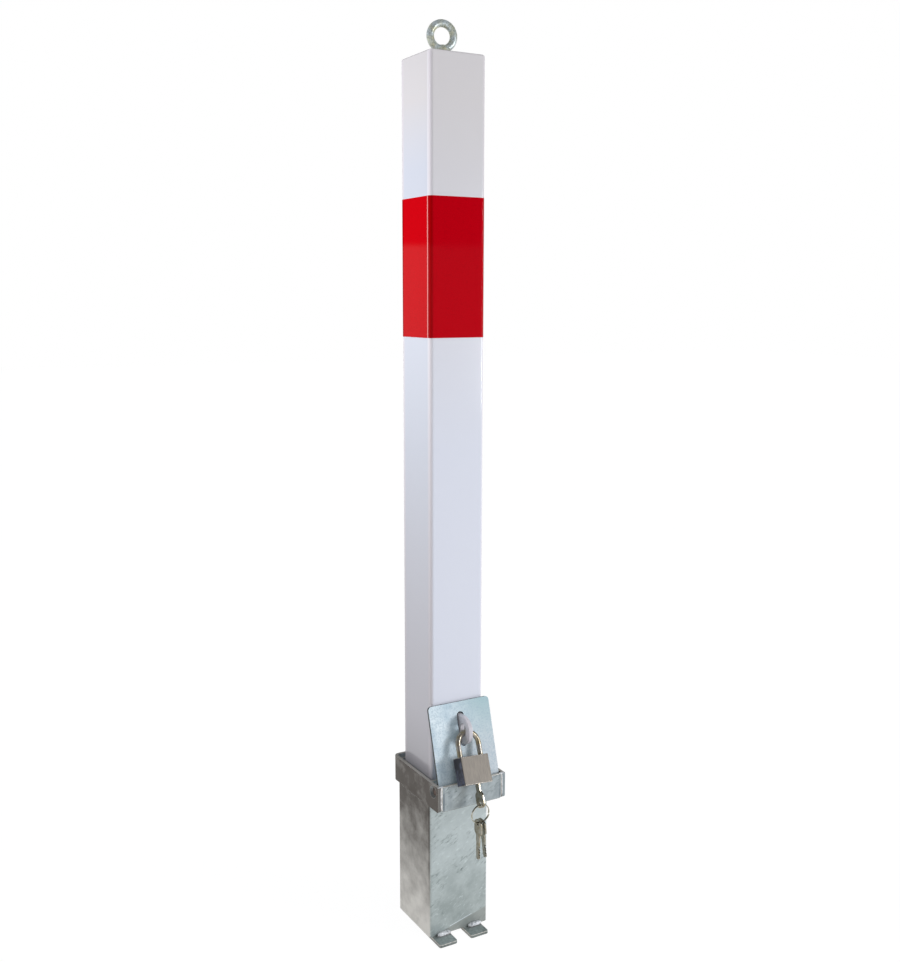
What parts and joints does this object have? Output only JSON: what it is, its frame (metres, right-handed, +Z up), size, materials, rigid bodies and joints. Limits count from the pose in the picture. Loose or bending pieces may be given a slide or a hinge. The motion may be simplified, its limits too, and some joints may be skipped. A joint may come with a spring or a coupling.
{
  "type": "removable bollard",
  "caption": "Square white steel post with a red reflective band and a lifting eye, standing in a ground socket whose hinged lid is held on the post's lug by a padlock with keys.",
  "frame": {"origin": "on the post's axis at the rim of the socket's collar, which is the finished ground level", "axes": "+Z up along the post; -Y towards the hinged lid and the padlock; +X to the right of someone who faces the lid"},
  "size_m": [0.118, 0.1857, 1.3835],
  "materials": {
    "galvanised_steel": "hot-dip galvanised, mottled and dull",
    "weld_metal": "rough weld bead, galvanised over",
    "pin_steel": "plain bright bar",
    "white_paint": "semi-gloss white powder coat",
    "red_reflective_film": "glossy retroreflective film",
    "zinc_plate": "bright zinc plate",
    "lid_zinc": "zinc plated sheet, cloudy",
    "shackle_steel": "chrome plated bar",
    "lock_case": "satin plated case",
    "plug_brass": "turned brass",
    "key_nickel": "worn nickel plate over brass",
    "ring_steel": "nickel plated spring steel"
  },
  "bodies": {
    "socket": {"socket_tube": "galvanised_steel", "collar_band": "galvanised_steel", "collar_front_bar": "galvanised_steel", "stop_bar_left": "galvanised_steel", "stop_bar_right": "galvanised_steel", "foot_welds": "weld_metal", "collar_welds": "weld_metal", "hinge_pin": "pin_steel"},
    "post": {"post_tube": "white_paint", "top_cap": "white_paint", "reflective_band": "red_reflective_film", "locking_lug": "white_paint", "washer": "zinc_plate", "lock_nut": "zinc_plate", "cap_nut": "zinc_plate", "eyebolt": "zinc_plate"},
    "lid": {"lid_plate": "lid_zinc"},
    "shackle": {"shackle": "shackle_steel"},
    "lock": {"lock_body": "lock_case"},
    "plug": {"cylinder_plug": "plug_brass"},
    "key": {"key_in_lock": "key_nickel"},
    "ring": {"key_ring": "ring_steel"},
    "spare_key_1": {"spare_key_1": "key_nickel"},
    "spare_key_2": {"spare_key_2": "key_nickel"}
  },
  "joints": [
    {"name": "post_lift", "type": "slide", "parent": "socket", "child": "post", "axis": [0, 0, 1], "range_m": [0, 0.39]},
    {"name": "lid_swing", "type": "hinge", "parent": "socket", "child": "lid", "pos_m": [0, -0.075, -0.012], "axis": [1, 0, 0], "range_deg": [0, 3.6]},
    {"name": "padlock_swing", "type": "hinge", "parent": "post", "child": "shackle", "pos_m": [0.001, -0.07149, 0.07025], "axis": [-0.9939, -0.058, 0.0938], "range_deg": [0, 70]},
    {"name": "shackle_release", "type": "slide", "parent": "shackle", "child": "lock", "axis": [-0.058, -0.4482, -0.8921], "range_m": [0, 0.009]},
    {"name": "plug_turn", "type": "hinge", "parent": "lock", "child": "plug", "pos_m": [0.00043, -0.1064, -0.00006], "axis": [0.058, 0.4482, 0.8921], "range_deg": [0, 90]},
    {"name": "key_pull", "type": "slide", "parent": "plug", "child": "key", "axis": [-0.058, -0.4482, -0.8921], "range_m": [0, 0.032]},
    {"name": "ring_swing", "type": "hinge", "parent": "key", "child": "ring", "pos_m": [-0.00128, -0.11957, -0.02738], "axis": [-1, 0, 0], "range_deg": [-25, 60]},
    {"name": "spare_key_1_swing", "type": "hinge", "parent": "ring", "child": "spare_key_1", "pos_m": [-0.00378, -0.11646, -0.05701], "axis": [-1, 0, 0], "range_deg": [-30, 30]},
    {"name": "spare_key_2_swing", "type": "hinge", "parent": "ring", "child": "spare_key_2", "pos_m": [0.00232, -0.11648, -0.05678], "axis": [-1, 0, 0], "range_deg": [-30, 30]}
  ]
}
